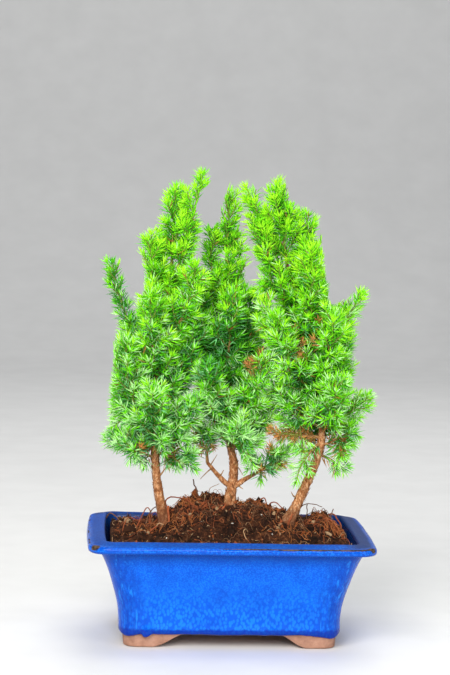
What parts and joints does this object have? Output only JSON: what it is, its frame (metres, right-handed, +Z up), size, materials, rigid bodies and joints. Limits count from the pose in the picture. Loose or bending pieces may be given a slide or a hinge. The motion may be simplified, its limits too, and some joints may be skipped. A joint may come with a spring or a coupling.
{
  "type": "potted juniper bonsai",
  "caption": "Small juniper trained as a clump of slender stems with upswept plumes of needles, standing in a glazed rectangular pot on corner feet.",
  "frame": {"origin": "on the ground under the middle of the whole plant's bounding box", "axes": "+Z up, +X to the right along the pot's long side as seen from the front, +Y to the back along its short side"},
  "size_m": [0.2084, 0.15, 0.3364],
  "materials": {
    "glazed_clay": "gloss",
    "bare_clay": "matte",
    "soil": "matte",
    "root": "matte",
    "bark": "matte",
    "needles": "satin",
    "dead_needles": "matte"
  },
  "bodies": {
    "root": {"bough_middle_left": "bark", "bough_middle_right": "bark", "foliage_left_back_left": "needles", "foliage_left_back_low": "needles", "foliage_left_back_right": "needles", "foliage_left_back_top": "needles", "foliage_left_bright": "needles", "foliage_left_crest": "needles", "foliage_left_droop": "needles", "foliage_left_front": "needles", "foliage_left_front_left": "needles", "foliage_left_inner": "needles", "foliage_left_leader": "needles", "foliage_left_low_front": "needles", "foliage_left_low_inner": "needles", "foliage_left_low_side": "needles", "foliage_left_low_tip": "needles", "foliage_left_shoulder": "needles", "foliage_left_side": "needles", "foliage_left_spur": "needles", "foliage_middle_back_left": "needles", "foliage_middle_back_right": "needles", "foliage_middle_front": "needles", "foliage_middle_leader": "needles", "foliage_middle_left": "needles", "foliage_middle_low_front": "needles", "foliage_middle_low_right": "needles", "foliage_middle_mid_left": "needles", "foliage_middle_mid_right": "needles", "foliage_middle_on_left_bough": "needles", "foliage_middle_on_right_bough": "needles", "foliage_middle_right": "needles", "foliage_middle_spray_left": "needles", "foliage_middle_spray_right": "needles", "foliage_right_back_left": "needles", "foliage_right_back_low": "needles", "foliage_right_back_right": "needles", "foliage_right_back_top": "needles", "foliage_right_bulge": "needles", "foliage_right_dead": "dead_needles", "foliage_right_droop_front": "needles", "foliage_right_droop_side": "needles", "foliage_right_front": "needles", "foliage_right_front_left": "needles", "foliage_right_front_upper": "needles", "foliage_right_leader": "needles", "foliage_right_left": "needles", "foliage_right_low_front": "needles", "foliage_right_low_left": "needles", "foliage_right_low_side": "needles", "foliage_right_nodding": "needles", "foliage_right_shoulder": "needles", "foliage_right_side": "needles", "foliage_right_spray": "needles", "foliage_right_spur": "needles", "pot": "glazed_clay", "soil": "soil", "stem_left": "bark", "stem_middle": "bark", "stem_right": "bark"}
  },
  "joints": []
}
